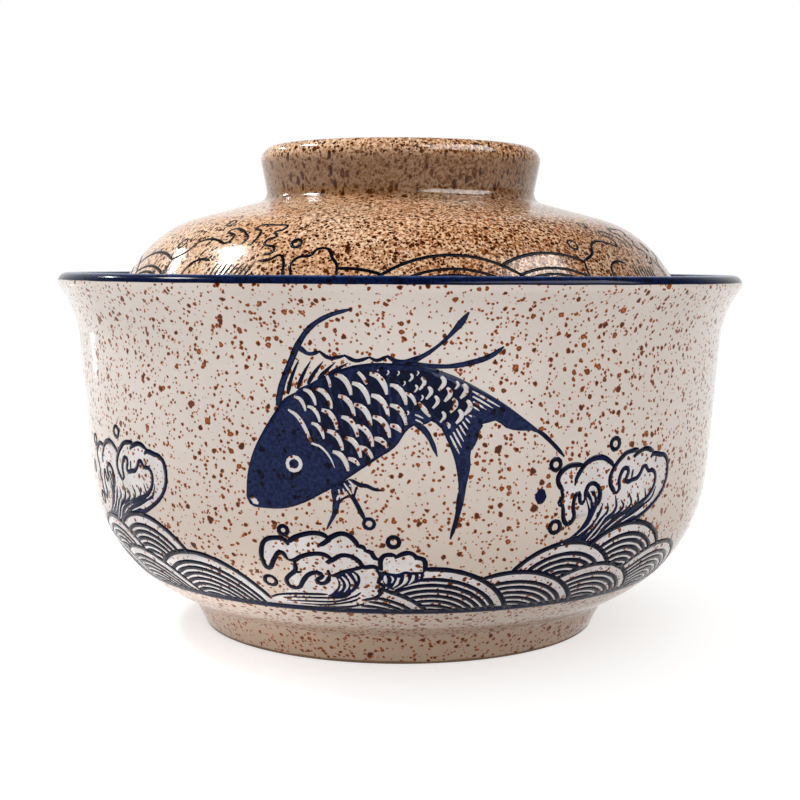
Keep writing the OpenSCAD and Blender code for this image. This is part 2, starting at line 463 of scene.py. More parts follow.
def lay_root(bm, marks, wall, x, s):
    """The solid root of a crest, its trunk, and the pale streaks in them."""
    solids = [
        ([(-0.8, 11.8), (-0.9, 10.2), (-0.1, 8), (0.1, 6.4), (-0.7, 4.5), (-2, 2.8), (-4, 1.2)],
         [(2.8, 12), (3, 10), (2.7, 8.2), (1.9, 6.2), (0.9, 4.2), (-0.4, 2.2), (-2, 0.8)]),
        ([(15.5, 4.6), (10, 4), (6.4, 2.6), (4, 1.5), (1, 1.4), (-2, 1.5), (-4, 1.2), (-6.6, 0.4)],
         [(14, 3), (10, 2.5), (7, 1.6), (5, 0.6), (3.4, -0.8), (1.5, -0.8), (-1, -0.1), (-6.5, -0.1)]),
    ]
    streaks = [
        ([(-0.6, 10.4), (0.1, 9.2), (0.6, 7.8)], [0.4, 0.55, 0.3]),
        ([(-0.2, 11.9), (1.1, 10.1), (1.6, 8.4)], [0.4, 0.6, 0.4]),
        ([(0.6, 12.7), (1.7, 12), (2.2, 10.2)], [0.5, 0.8, 0.4]),
        ([(2.6, 5.6), (0.5, 3.4), (-2.1, 1.5)], [0.5, 0.4, 0.25]),
        ([(3.9, 5.7), (1.8, 3), (0.4, 1.6)], [0.5, 0.4, 0.25]),
        ([(5.5, 5.7), (3.5, 3.1), (0.8, -0.1)], [0.4, 0.45, 0.35]),
        ([(7.2, 4.6), (5.1, 3.2), (3.3, 0.9), (1.7, -0.1)], [0.3, 0.35, 0.3]),
        ([(11.5, 5.2), (8.5, 3.7), (6, 2.1)], 0.3),
        ([(19.5, 7.2), (15, 5), (10.5, 3.4)], 0.3),
    ]
    for left, right in solids:
        fill(bm, wall, spots(left, x, s), spots(right, x, s), cell=1.0)
    for points, width in streaks:
        brush(marks, wall, flow(spots(points, x, s)), width, MARK_LIFT)


def foam():
    """The burst of foam under the fish: rolling lobes, a claw, a round block and a low bump."""
    lines = [
        ([(-25.1, 15), (-26.7, 16.9), (-28.7, 14.6), (-30.4, 12.3), (-31.5, 14), (-31.3, 17.1), (-30, 19.6),
          (-27.4, 20.4), (-25.4, 20.1), (-24.4, 18.8)], 1.2),
        ([(-25, 19.2), (-22.6, 20.9), (-19.3, 22), (-16.7, 21.9), (-15, 20.9)], 1.2),
        ([(-17.7, 19), (-16.2, 19.8), (-14.4, 21.4), (-12.4, 22.2), (-10.6, 21.7), (-9.1, 20),
          (-8.7, 19)], 1.2),
        ([(-9.3, 19.3), (-7.7, 19.1), (-7.1, 18)], 1.1),
        ([(-7.6, 18.3), (-6, 17.8), (-5.2, 16.4), (-4, 16)], 1.1),
        ([(-25.1, 15), (-23.6, 15), (-21.9, 16.1), (-18.8, 17), (-16.5, 16.9), (-14.6, 15.7)], 1.15),
        ([(-16.3, 14.9), (-14.7, 15.6), (-12.5, 16.9), (-10.2, 16.6), (-8.6, 15.3), (-7.8, 14),
          (-5.6, 14.2), (-4.2, 13.3)], 1.15),
        ([(-23.6, 14.9), (-23.8, 12.3), (-25.5, 10.7), (-26.6, 9.3), (-26.4, 7.7), (-25.2, 6.9),
          (-23.7, 7.3), (-22.5, 9.2), (-20.7, 11.3), (-18.6, 12), (-17.5, 11.1), (-19, 9.7), (-18.2, 8.8),
          (-16.6, 9.5), (-15.7, 11.4)], 1.15),
        ([(-24, 11.7), (-22.3, 11.9)], 0.9),
        ([(-15.7, 11.2), (-16, 12.9)], 1),
        ([(-15.7, 11.4), (-14.6, 11.4), (-13, 12.3), (-11.1, 13), (-8.8, 13.7), (-7.6, 14.1)], 1),
        ([(-32.5, 2.8), (-30.6, 3.9), (-26.2, 4.8), (-17.1, 5.4)], [0.6, 0.8, 0.8]),
        ([(-29.4, 3.1), (-26.5, 3.6), (-18.4, 4.1), (-13.5, 4.6), (-11.4, 5.9)], [0.3, 0.65, 0.75, 0.7]),
        ([(-28.4, 2.2), (-22.8, 2.5), (-15.1, 3.1), (-10.2, 5.3), (-8.9, 6.5)], [0.3, 0.65, 0.7, 0.6]),
        ([(-25.1, 1.4), (-17.9, 1.6), (-11.8, 3.1), (-9.4, 4.5)], [0.3, 0.7, 0.6]),
        ([(-20.2, 0.6), (-13.1, 1), (-8.5, 2.4)], [0.4, 0.8, 0.8]),
        ([(-3.7, 13.1), (-4, 14.2), (-3.9, 16), (-3.1, 17.1), (-1.6, 17.3), (-0.4, 17)], 1.15),
        ([(-0.9, 16.4), (0.6, 17.4), (2.4, 17.8), (3.6, 17), (3.8, 16)], [1, 1.15, 0.9]),
        ([(3.4, 17), (4.4, 16.5), (5.5, 16.1), (6, 14.6), (5.7, 12.8)], 1.15),
        ([(-8.5, 4), (-6.9, 4.3), (-5.3, 5), (-4.2, 6.3), (-4.5, 7.2), (-3.4, 8.4), (-4.6, 9.8),
          (-4.1, 10.9), (-4.2, 12.4), (-5.1, 13.3)], 1),
    ]
    shape = [
        (-25, 15.4), (-26.8, 16.4), (-29, 13.4), (-30.6, 11.8), (-32.1, 14), (-31.9, 17.3), (-30.4, 20),
        (-27.4, 20.9), (-25.2, 20.4), (-22.6, 21.4), (-19.3, 22.5), (-16.6, 22.4), (-15, 21.8),
        (-12.4, 22.7), (-10.2, 22), (-8.6, 19.8), (-6.7, 18.6), (-4.6, 16.6), (-2.4, 18.2), (0.4, 18),
        (2.4, 18.3), (5.4, 16.7), (6.4, 14.9), (6.2, 12.6), (4.6, 10), (1.4, 8.4), (-1, 7.2), (-2.8, 8),
        (-4, 5), (-6.2, 3.7), (-8, 1.8), (-20, -0.4), (-32, -0.6), (-33.6, 2), (-26.6, 6.6)
    ]
    return drawn(shape, lines)


def lay_claw(bm, marks, wall):
    """The foam's two solid places, with pale ribs: the claw and the hollow under the bump."""
    claw = (
        [(-12.6, 12.5), (-11.1, 13.1), (-9.6, 12.6), (-8.7, 11.2), (-8.8, 9.6), (-9.6, 7.8), (-12.1, 5.4),
         (-15.3, 4.2)],
        [(-15.3, 11.4), (-14.4, 10.9), (-14, 9.7), (-14.2, 8), (-15.1, 6.8), (-16.2, 5.6), (-17.2, 5)],
    )
    hollow = (
        [(-3.8, 13), (-2.2, 12.6), (-0.6, 12.3), (0.5, 12.6), (1.5, 13.1), (2.6, 12.8), (5.8, 12.9)],
        [(-3.9, 11.8), (-3.4, 9.4), (-2.6, 8.1), (-0.8, 7.4), (0.3, 7.7), (1.9, 8.8), (5.6, 10.2)],
    )
    ribs = [
        ([(-13.7, 10.5), (-13.2, 9.3), (-13.4, 7.8), (-14.4, 6.4)], [0.4, 0.5, 0.25]),
        ([(-12.9, 11.2), (-12, 9.8), (-11.9, 8.2), (-12.9, 6.5)], [0.45, 0.65, 0.3]),
        ([(-11.9, 12.1), (-11, 10.4), (-10.6, 9), (-11.2, 7.5)], [0.45, 0.6, 0.7, 0.4]),
        ([(-10.4, 12.3), (-9.8, 11.4), (-9.5, 10.1)], [0.4, 0.6, 0.4]),
        ([(-3, 11.8), (-3, 10.6), (-2.8, 9.5)], [0.6, 0.9, 0.5]),
        ([(-1.7, 11.7), (-1.2, 10.8), (-1.6, 9.7)], [0.4, 0.5, 0.3]),
        ([(0.1, 11.2), (-0.3, 9.7), (-1.3, 8.4)], [0.9, 0.65, 0.25]),
        ([(1.7, 12.2), (1.7, 10.6), (0.9, 9.2), (-1, 7.8)], [0.95, 0.85, 0.4, 0.3]),
        ([(3.4, 12), (3.2, 10.6), (2.3, 9.3)], [0.85, 0.7, 0.25]),
        ([(4.8, 12.2), (4.7, 10.9)], [0.55, 0.4]),
    ]
    fill(bm, wall, *claw, cell=1.0)
    fill(bm, wall, *hollow, cell=0.9)
    for points, width in ribs:
        brush(marks, wall, flow(points), width, MARK_LIFT, ends=(0.7, 0.7))


CREST = (43.5, 18.5)


def surf(x):
    """A bank of fans with a crest above it, from its front shape to its back one."""
    fans = [(7.5, -8.5, 22), (27.5, -11, 22.7), (50, -10, 21.5), (74, -7, 21), (40, 1.5, 17), (57.5, 3.5, 18)]
    return [fan(x + far, s, radius) for far, s, radius in fans] + [crest(x + CREST[0], CREST[1])]


def band():
    """Half of the wave band: the foam with its small fan, and a bank on each side."""
    return [foam(), fan(-8.5, -11, 19)] + surf(-QUARTER) + surf(0)


# Drops as (centre, radius, squash), and one solid splash between its upper and its lower side
CREST_DROPS = [((50, 40.7), 1.25, 1.05), ((34.3, 37), 1.2, 1.05), ((35.2, 22.6), 1.3, 1.1)]
FOAM_DROPS = [((-25.4, 22.3), 1.05, 1), ((-30.9, 8.6), 1.5, 0.95), ((-1.1, 20.4), 1.25, 1)]
SPLASH = (
    [(29.6, 30), (30.2, 31.4), (31, 31.9), (31.9, 31.3), (32.4, 30)],
    [(29.6, 29.8), (30.2, 28.6), (31, 28.2), (31.9, 28.7), (32.4, 29.8)],
)
DROP_LINE = 1.05


def lay_band(bm, wall, shapes, every, floor, thin=1.0):
    """Draws the shapes of one repeat, each hidden by those in front of it, also by the next repeats'."""
    fronts = []
    for shape, lines in shapes:
        for line, width in lines:
            for stretch in in_view(line, fronts, floor):
                brush(bm, wall, stretch, fuller(width, thin))
        fronts += [spots(shape, by) for by in (-every, 0, every)]


def repeat(bm, count):
    """Copies what is laid to the other places round the piece."""
    bmesh.ops.spin(bm, geom=bm.verts[:] + bm.edges[:] + bm.faces[:], cent=(0, 0, 0), axis=(0, 0, 1),
                   angle=TURN * (count - 1) / count, steps=count - 1, use_duplicate=True)


ROUND_STEPS, ROUND_ROW, ROUND_WAVER, ROUND_RATE = 240, 0.5, 0.1, 9


def line_round(bm, wall, low, high, seed):
    """A painted line all round, with the small waver of a hand-held brush."""
    def spot(u, v):
        angle = u * TURN
        way = Vector((math.cos(angle) * ROUND_RATE, math.sin(angle) * ROUND_RATE, seed + v))
        return Vector((angle * GIRTH_R, low + (high - low) * v + noise.noise(way) * ROUND_WAVER))
    lay(bm, wall, ROUND_STEPS, max(2, math.ceil((high - low) / ROUND_ROW)), spot, PAINT_LIFT)


# The carp
BACK = [
    (-33.6, 29.6), (-33.1, 34.6), (-31.7, 39.3), (-29.3, 44), (-25.8, 49.4), (-24, 51.8), (-20.8, 53.6),
    (-18, 55.4), (-15.4, 56.9), (-12, 58.4), (-9.3, 59.3), (-4.6, 59.9), (0, 59.7), (4, 59.4), (8, 58.5)
]
BELLY = [
    (-33.4, 29), (-32.6, 27.6), (-30.6, 27.2), (-24.7, 27.4), (-20, 29), (-15.4, 31.6), (-12.6, 33.2),
    (-9.5, 35.5), (-3.7, 39.6), (-0.7, 41.8), (1.5, 45.2), (3.2, 46.5), (5, 46.5), (6.7, 47.5)
]
TAIL_UP = (
    [(6.5, 58.9), (11.2, 57.1), (15, 55.1), (21, 51.5), (26.2, 47.7), (31.1, 43.8), (36.2, 38.8)],
    [(6.3, 47.5), (7.2, 47.3), (8.2, 45.9), (12, 46.4), (17.7, 46.6), (20.1, 47.3), (22.4, 45.6),
     (25.4, 44.9), (28.6, 44.7), (31.6, 42.7), (36, 38.6)],
)
TAIL_DOWN = (
    [(8.4, 46.2), (10.1, 42.6), (11.5, 38.8), (12.3, 34.7), (12.5, 30.6), (12.1, 25.5), (11, 21.2)],
    [(13, 50), (17.4, 46.8), (16.4, 44.6), (16.3, 42.8), (14.8, 40.4), (15, 37.7), (14.2, 33.2), (13.4, 28),
     (11.3, 21.2)],
)
# The drop at the tip of the belly fin and the eye, each as (centre, radius), and how broad their lines are
FIN_DROP, FISH_EYE, RING_LINE = ((-6.3, 24.6), 1.15), ((-22.2, 37.5), 1.5), 0.85


def lay_carp(bm, marks, wall):
    """The leaping carp: dark head and body with pale scales, ribbed back fin, streamers and forked tail."""
    fill(bm, wall, BACK, BELLY)
    for sides in (TAIL_UP, TAIL_DOWN):
        fill(bm, wall, *sides)
    paint = [
        ([(-25.4, 50), (-25, 52.3), (-24.2, 55.3), (-22.1, 60.4), (-20.6, 63.7), (-17.9, 67.4),
          (-13.9, 70.2), (-9.4, 71.8)], [1.6, 1.5, 1.4, 1.3, 1.1, 0.9]),
        ([(-20.9, 63.3), (-20, 62.6), (-18.4, 61.6), (-16, 62.2)], [1.6, 0.9, 0.8]),
        ([(-16.3, 62.3), (-14.2, 60.8), (-10.9, 61.4)], 0.8),
        ([(-11.2, 61.5), (-8.8, 60.3), (-5.9, 61.1)], 0.8),
        ([(-6.2, 61.2), (-4.6, 60.4), (-2.3, 61.4)], 0.8),
        ([(-2.6, 61.4), (-0.4, 60.2), (2, 60.2)], 1),
        ([(-1.5, 59.6), (1.8, 60.1), (5.5, 61.9), (9.1, 64.9), (11.6, 68), (12.8, 70), (13.4, 71.2)],
          [1.7, 1.5, 1.1, 0.8, 0.8, 1.6, 0.9]),
        ([(1, 59.4), (3.7, 59.4), (10.2, 59.2), (15.8, 60.3), (19, 61.6), (21.2, 63.3)],
          [1.6, 1.1, 1, 1.2, 1.1, 0.9]),
        ([(3, 46.9), (5, 45.6), (6.6, 43), (7.9, 39.6)], [1.6, 1.2, 1.1, 0.5]),
        ([(29.6, 45), (33, 42), (36.3, 38.7)], [0.9, 0.95, 0.8]),
        ([(12.6, 31.6), (12.5, 27), (11.1, 21)], [1, 1.15, 0.7]),
        ([(-13.6, 33.2), (-13.2, 30.5), (-13.3, 28.5), (-13.8, 26.4), (-14.7, 24.6), (-15.5, 23)],
          [1.9, 1.9, 1.6, 1.1, 0.75, 0.5]),
        ([(-12.6, 28.9), (-11.9, 30.1), (-11.1, 30.5), (-10.5, 30.7)], 0.55),
        ([(-11.4, 33.6), (-10.05, 31.2), (-8.8, 28.9), (-7.75, 26.7), (-7.1, 25.4)],
          [0.7, 1.1, 1.05, 1, 1.1]),
        ([(-9.4, 30.4), (-9.1, 31.9), (-8.7, 33)], 0.6),
        ([(-9.8, 34.4), (-8.2, 33.3), (-6.7, 33.1), (-5.2, 32.4), (-3.4, 32.1)],
          [0.9, 0.95, 0.95, 0.8, 0.55]),
        ([(-13.4, 32.2), (-11.4, 32.8), (-9.6, 34.2)], 2.2),
    ]
    for foot, tip in spread([(-23.2, 52.8), (-20.6, 60.3)], [(-14.4, 57.4), (-10.4, 59.8)], 5):
        bend = between(foot, tip, 0.5)
        paint.append(([foot, (bend[0] - 0.4, bend[1] - 0.3), tip], [1.1, 0.8, 0.35]))
    for points, width in paint:
        brush(bm, wall, flow(points), width)
    brush(bm, wall, ring(*FIN_DROP), RING_LINE, closed=True)

    pale = [
        ([(-23.2, 49.4), (-21.5, 48.3), (-20.2, 46.6), (-19.2, 44.6), (-18.5, 42.8), (-18, 42.1),
          (-16.7, 41.7), (-15.4, 40.6), (-14.2, 38.9), (-13.4, 36.9)],
          [0.5, 0.8, 0.85, 0.85, 0.65, 0.5, 0.5, 0.45, 0.35, 0.2]),
        ([(-32.4, 29.4), (-31.6, 28.6), (-30.8, 28.1)], [0.9, 1.35, 0.9]),
        ([(-13, 29.8), (-12.7, 30.7), (-11.9, 30.6), (-11.1, 31.1)], 0.5),
        ([(-12.2, 30.6), (-12.4, 31.4), (-12.7, 32.2)], 0.42),
        ([(-11.3, 30.9), (-11.5, 31.6), (-11.7, 32.4)], 0.42),
        ([(-11.5, 33.6), (-10.7, 32.4), (-9.9, 31.2)], [0.3, 0.5, 0.6]),
        ([(-10.5, 34.2), (-9.6, 33.2), (-9.5, 32.4), (-9.7, 31.4)], [0.35, 0.6, 0.6, 0.4]),
        ([(-10.4, 33.2), (-9.8, 32.8)], 0.32),
        ([(-14.8, 57), (-14.3, 55.8), (-14.1, 54.5)], 0.75),
        ([(-8.4, 57.9), (-7.4, 56.8), (-6.6, 55.3)], 0.85),
        ([(3.9, 51.4), (5, 50), (6.3, 48.3)], [0.7, 1, 0.8]),
        ([(3.2, 48.8), (4.1, 48.4), (4.9, 48)], 0.4),
        ([(3.3, 47.7), (4.1, 47.3), (4.8, 46.8)], 0.4),
    ]
    streaks = spread([(14.9, 53.8), (20.8, 50.3)], [(15.2, 50.4), (16.5, 49.5)], 4)
    streaks += spread([(10.5, 44.2), (12.5, 40.2)], [(14.3, 48.7), (15, 48.2)], 7)
    pale += [(streak, [0.4, 0.45, 0.25]) for streak in streaks]
    for points, width in pale:
        brush(marks, wall, flow(points), width, MARK_LIFT, ends=(0.8, 0.6))
    brush(marks, wall, ring(*FISH_EYE), RING_LINE, MARK_LIFT, closed=True)
    cover(bm, wall, spots(SCALED_BODY), SCALED_INSET, BODY_LIFT, 1.0)
    cover(bm, wall, spots(SCALED_TAIL), SCALED_INSET, TAIL_LIFT, 1.0)
    lay_scales(marks, wall, BODY_SCALES, BODY_BEND, spots(SCALED_BODY))
    lay_scales(marks, wall, TAIL_SCALES, TAIL_BEND, spots(SCALED_TAIL))


# Columns of scales: the top left of the first and the last, how many, and their size; and where they may lie
BODY_SCALES = [
    ((-21.8, 52.3), (-21.8, 52.3), 1, 0.72),
    ((-19.8, 53.9), (-18.2, 46.6), 3, 0.78),
    ((-17.1, 54.1), (-13.8, 40.5), 4, 0.98),
    ((-13.1, 57.2), (-10.6, 39.1), 5, 1),
    ((-9.6, 55.5), (-8.5, 41.7), 4, 1.05),
    ((-6, 57.6), (-5.1, 43.6), 4, 1.05),
    ((-1.9, 55.2), (-1.9, 46.5), 3, 1),
    ((1.1, 53.4), (1.1, 53.4), 1, 0.7),
]
TAIL_SCALES = [
    ((4.4, 56.8), (7.2, 52.8), 3, 0.8),
    ((8.7, 49.4), (9.7, 47), 2, 0.7),
    ((8.4, 57), (12.1, 49.8), 4, 0.9),
    ((12.9, 55.4), (13.8, 51.8), 2, 0.95),
    ((11.5, 56), (11.5, 56), 1, 0.55),
    ((2.2, 57.6), (3.2, 55.2), 2, 0.5),
    ((3.6, 58.2), (0.9, 56), 2, 0.3),
    ((-0.3, 58.2), (-4.5, 58.4), 3, 0.3),
    ((4.5, 53), (1.6, 49.6), 2, 0.35),
]
SCALED_BODY = [
    (-22.8, 52.2), (-20.6, 54.4), (-14, 57.4), (-6, 58.8), (0.6, 58.6), (1.9, 53.6), (3.6, 52.8), (3.2, 50),
    (1.2, 45.4), (-2.4, 41.4), (-7.6, 37.3), (-11.2, 35), (-12.2, 37.2), (-14.6, 41.2), (-16.9, 43),
    (-17.8, 45.6), (-19.8, 49)
]
SCALED_TAIL = [
    (-6, 59.2), (4.4, 58.9), (8.4, 57.6), (15.2, 54.4), (14.6, 49), (10.2, 45), (6.4, 48.6), (1.2, 48.6),
    (0.4, 55)
]
# How a scale bends down from its top left, and its widths
BODY_BEND = [(0, 0), (1.3, -0.4), (2.35, -1.5), (3, -2.9), (3.3, -4.3)]
TAIL_BEND = [(0, 0), (0.7, -0.8), (0.7, -1.8), (-0.5, -3.3)]
SCALE_WIDTHS = [0.85, 1.1, 1.12, 1.0, 0.8]


def lay_scales(marks, wall, columns, bend, area):
    """Pale crescents, each hung from its top left and bent down, where they fall on the scaled area."""
    for top, foot, count, size in columns:
        for (start,) in spread([top], [foot], count):
            whole = flow([Vector(start) + Vector(p) * size for p in bend])
            line = [spot for spot in whole if inside(spot, area)]
            if len(line) > 2:
                brush(marks, wall, line, fuller(SCALE_WIDTHS, size), MARK_LIFT, ends=(0.8, 0.7))


# Ornament of the lid
LID_STRETCH, LID_THIN = 1.16, 0.66


def lid_band():
    """One quarter of the lid's wave band."""
    wave = [
        ([(-72.6, 17.8), (-69.2, 19.2), (-67.3, 20.4), (-65.4, 22.9), (-61, 24.2), (-56.6, 23.6),
          (-52.8, 22.7), (-51.8, 25.2), (-54, 26.2), (-55.8, 27), (-53.6, 28.2), (-50.4, 27.4),
          (-48.3, 26.2), (-46, 24.2), (-47, 22.2)], 1.15),
        ([(-43.6, 21.8), (-42.6, 24.6), (-43.3, 27.2), (-45.8, 28), (-44.6, 29.7), (-39.6, 29.6),
          (-35.2, 29.2), (-35.8, 27.4), (-37.8, 26.6), (-36.4, 25), (-38.6, 23.8), (-38.8, 22.2),
          (-35.4, 21.4), (-35.2, 19.8), (-37.8, 19)], 1.15),
        ([(-64.4, 6), (-64, 12), (-62.6, 16.2), (-58.8, 17.8), (-55, 17.4)], 1.1),
        ([(-38.6, 17.4), (-35.4, 17.6), (-32.6, 19), (-30.8, 17), (-30.4, 13), (-34, 6), (-44, 0)], 1.1),
        ([(-72.6, 17.8), (-73.2, 13), (-70, 6), (-62, 0)], 1.1),
    ]
    for top, foot in spread([(-51.6, 16.6), (-56, 0)], [(-39.6, 16.4), (-48, 0)], 8):
        wave.append(([top, between(top, foot, 0.4), foot], [0.8, 1, 0.7]))
    bump = [
        ([(-29.4, 8), (-27.8, 13.6), (-28.7, 16.2), (-27, 18.4), (-23.8, 18.9), (-22.2, 20.8),
          (-19.4, 20.8), (-17.6, 18.2), (-16, 16), (-16.2, 12), (-18, 8)], 1.15),
    ]
    wave_shape = [
        (-62, -1), (-70.6, 6), (-73.8, 13), (-73, 18), (-67.5, 20.8), (-65.6, 23.2), (-61, 24.6),
        (-56.6, 27), (-53.6, 28.6), (-46.6, 28.2), (-44.8, 30), (-35, 29.6), (-35.6, 24), (-34.8, 21),
        (-32.4, 19.4), (-30.3, 17), (-30, 13), (-33.6, 5.6), (-43, -1)
    ]
    bump_shape = [
        (-29.8, 8), (-28.2, 13.6), (-29.1, 16.2), (-27.2, 18.8), (-24, 19.4), (-22.4, 21.2), (-19.2, 21.2),
        (-17.2, 18.4), (-15.6, 16), (-15.8, 12), (-17.6, 8)
    ]
    fans = [(13.3, -5.4, 24.6, 3.8), (-14, -6, 21.4, 3.8), (41, -4, 24, 4.2), (-36, -12, 22, 3.8)]
    return [drawn(bump_shape, bump), drawn(wave_shape, wave)] + [
        fan(x, s, radius, LID_STRETCH, plain) for x, s, radius, plain in fans]


# Drops as (centre, radius, squash, line)
LID_DROPS = [((-29, 22.6), 1.35, 0.95, 0.9), ((-73.4, 22.8), 1.6, 0.95, 0.6), ((-59.4, 31), 1.5, 0.9, 0.6)]


# Materials, with lengths in metres
def feed(tree, socket, source):
    """Links a socket to an output, or sets it to a value."""
    if isinstance(source, bpy.types.NodeSocket):
        tree.links.new(source, socket)
    else:
        socket.default_value = source


def new_group(name, inputs, outputs):
    """A node group with its sockets. Gives its tree, what comes in, and where its results go."""
    tree = bpy.data.node_groups.new(name, "ShaderNodeTree")
    for label, value in inputs:
        tree.interface.new_socket(label, in_out="INPUT", socket_type="NodeSocketFloat").default_value = value
    for label in outputs:
        tree.interface.new_socket(label, in_out="OUTPUT", socket_type="NodeSocketFloat")
    return tree, tree.nodes.new("NodeGroupInput").outputs, tree.nodes.new("NodeGroupOutput").inputs


def node(tree, kind, links=(), **settings):
    """A node with its settings, and links given as (its input, an output or a value)."""
    made = tree.nodes.new(kind)
    for name, value in settings.items():
        setattr(made, name, value)
    for socket, source in links:
        feed(tree, made.inputs[socket], source)
    return made


def maths(tree, operation, a, b):
    return node(tree, "ShaderNodeMath", [(0, a), (1, b)], operation=operation).outputs[0]


def times(tree, a, b):
    return maths(tree, "MULTIPLY", a, b)


def scaled(tree, value, by, plus):
    return maths(tree, "ADD", times(tree, value, by), plus)


def vectors(tree, operation, *links):
    return node(tree, "ShaderNodeVectorMath", links, operation=operation).outputs[0]


def ramp(tree, value, low, high):
    """0 on the side of low, 1 on the side of high, smooth between."""
    return node(tree, "ShaderNodeMapRange", [("Value", value), ("From Min", low), ("From Max", high)],
                interpolation_type="SMOOTHSTEP").outputs["Result"]


def mix(tree, factor, a, b):
    """One colour over another: inputs 6 and 7 and output 2 are the node's colour sockets."""
    return node(tree, "ShaderNodeMix", [(0, factor), (6, a), (7, b)], data_type="RGBA").outputs[2]


def position(tree):
    return node(tree, "ShaderNodeTexCoord").outputs["Object"]


def axes(tree):
    return node(tree, "ShaderNodeSeparateXYZ", [("Vector", position(tree))]).outputs


def cloud(tree, coords, scale, detail):
    values = [("Vector", coords), ("Scale", scale), ("Detail", detail)]
    return node(tree, "ShaderNodeTexNoise", values).outputs


def specks_group():
    """Iron specks that have burnt through a glaze, in one size: dark spots with rusty edges, some of the wide
    ones with rusty hearts too."""
    values = [("Spacing", 0.004), ("Radius", 0.0006), ("Share", 0.6), ("Seed", 0.0), ("Stretch", 1.0)]
    tree, given, result = new_group("iron_specks", values, ["Spot", "Heart"])
    upright = maths(tree, "DIVIDE", 1.0, given["Stretch"])
    pull = node(tree, "ShaderNodeCombineXYZ", [("X", 1.0), ("Y", 1.0), ("Z", upright)]).outputs[0]
    moved = vectors(tree, "MULTIPLY_ADD", (0, position(tree)), (1, pull), (2, given["Seed"]))
    ragged = cloud(tree, moved, 800.0, 1.0)["Color"]
    centred = vectors(tree, "SUBTRACT", (0, ragged), (1, (0.5, 0.5, 0.5)))
    shift = vectors(tree, "SCALE", (0, centred), ("Scale", times(tree, given["Radius"], 1.4)))
    warped = vectors(tree, "ADD", (0, moved), (1, shift))
    cells = node(tree, "ShaderNodeTexVoronoi",
                 [("Vector", warped), ("Scale", maths(tree, "DIVIDE", 1.0, given["Spacing"]))])
    away = times(tree, cells.outputs["Distance"], given["Spacing"])
    chance = node(tree, "ShaderNodeSeparateColor", [("Color", cells.outputs["Color"])]).outputs
    reach = times(tree, scaled(tree, chance["Red"], 0.65, 0.35), given["Radius"])
    there = maths(tree, "LESS_THAN", chance["Green"], given["Share"])
    depth = maths(tree, "SUBTRACT", reach, away)
    heart = times(tree, ramp(tree, depth, 0.0002, 0.0005), ramp(tree, chance["Blue"], 0.4, 0.8))
    rusty = maths(tree, "MAXIMUM", heart, ramp(tree, depth, 0.00024, 0.00006))
    feed(tree, result["Spot"], times(tree, ramp(tree, depth, 0.0, 0.00007), there))
    feed(tree, result["Heart"], rusty)
    return tree


def tone_group():
    """Soft uneven patches, from 0 below Low to 1 above High."""
    tree, given, result = new_group("uneven_tone", [("Scale", 20.0), ("Low", 0.35), ("High", 0.65)], ["Tone"])
    fog = cloud(tree, position(tree), given["Scale"], 3.0)["Fac"]
    feed(tree, result["Tone"], ramp(tree, fog, given["Low"], given["High"]))
    return tree


def skin_group():
    """The height of a glaze: slow throwing waves, a fine orange skin, and a pit at each speck."""
    tree, given, result = new_group("glaze_skin", [("Specks", 0.0)], ["Height"])
    coords = position(tree)
    rings = node(tree, "ShaderNodeMapping", [("Vector", coords), ("Scale", (12.0, 12.0, 110.0))]).outputs[0]
    waves, skin = cloud(tree, rings, 1.0, 1.0)["Fac"], cloud(tree, coords, 260.0, 2.0)["Fac"]
    height = maths(tree, "ADD", waves, times(tree, skin, 0.12))
    feed(tree, result["Height"], maths(tree, "SUBTRACT", height, times(tree, given["Specks"], 0.12)))
    return tree


SPECKS, TONE, SKIN = specks_group(), tone_group(), skin_group()


def patches(tree, scale, low=0.35, high=0.65):
    return node(tree, "ShaderNodeGroup", [("Scale", scale), ("Low", low), ("High", high)],
                node_tree=TONE).outputs["Tone"]


def speckle(tree, colour, layers, dark, rust, stretch=1.0):
    """Lays sizes of specks, each as (spacing, radius, share, seed). Gives the colour and their mask."""
    marks = 0.0
    for layer in layers:
        values = [*zip(("Spacing", "Radius", "Share", "Seed"), layer), ("Stretch", stretch)]
        made = node(tree, "ShaderNodeGroup", values, node_tree=SPECKS).outputs
        colour = mix(tree, made["Spot"], colour, mix(tree, made["Heart"], dark, rust))
        marks = maths(tree, "MAXIMUM", made["Spot"], marks)
    return colour, marks


def rgb(red, green, blue):
    """A colour from its screen values."""
    def linear(c):
        c /= 255
        return c / 12.92 if c <= 0.04045 else ((c + 0.055) / 1.055) ** 2.4
    return (linear(red), linear(green), linear(blue), 1.0)


# Sizes of specks, as for speckle
FINE, MIDDLE = (0.0011, 0.00046, 0.8, 0.11), (0.0018, 0.00072, 0.8, 0.37)
COARSE = (0.0040, 0.00105, 0.5, 0.73)
IRON, RUST = rgb(70, 30, 2), rgb(178, 92, 26)
SKIN_DEPTH = 0.0004
# Heights from which and to which the looks change, on the bowl's wall, foot and lip and on the ring handle.
# The browning of the wall and foot is painted shade, the lighter crest of the lip a painted highlight, and
# the darker side of the ring handle painted shade
LOW_WALL_SHADE, FOOT_SHADE, FOOT_SPECKS = (0.070, 0.012), (0.016, 0.005), (0.020, 0.012)
BARE_BELOW, BARE_EDGE, LIP_HIGHLIGHT = 0.0011, 0.0003, (0.0925, 0.0930)
RING_FOOT, RING_CREST = (0.1105, 0.1130), (0.1250, 0.1205)
# The same along x, over which the lid's mottle gets denser and its colour darker brown towards its right
RIGHTWARD_MOTTLE, RIGHTWARD_BROWN = (-0.075, 0.030), (0.0, 0.16)


def new_material(name):
    material = bpy.data.materials.new(name)
    material.use_nodes = True
    return material, material.node_tree, material.node_tree.nodes["Principled BSDF"]


def coat(tree, shader, colour, roughness, specular):
    for name, source in (("Base Color", colour), ("Roughness", roughness), ("Specular IOR Level", specular)):
        feed(tree, shader.inputs[name], source)


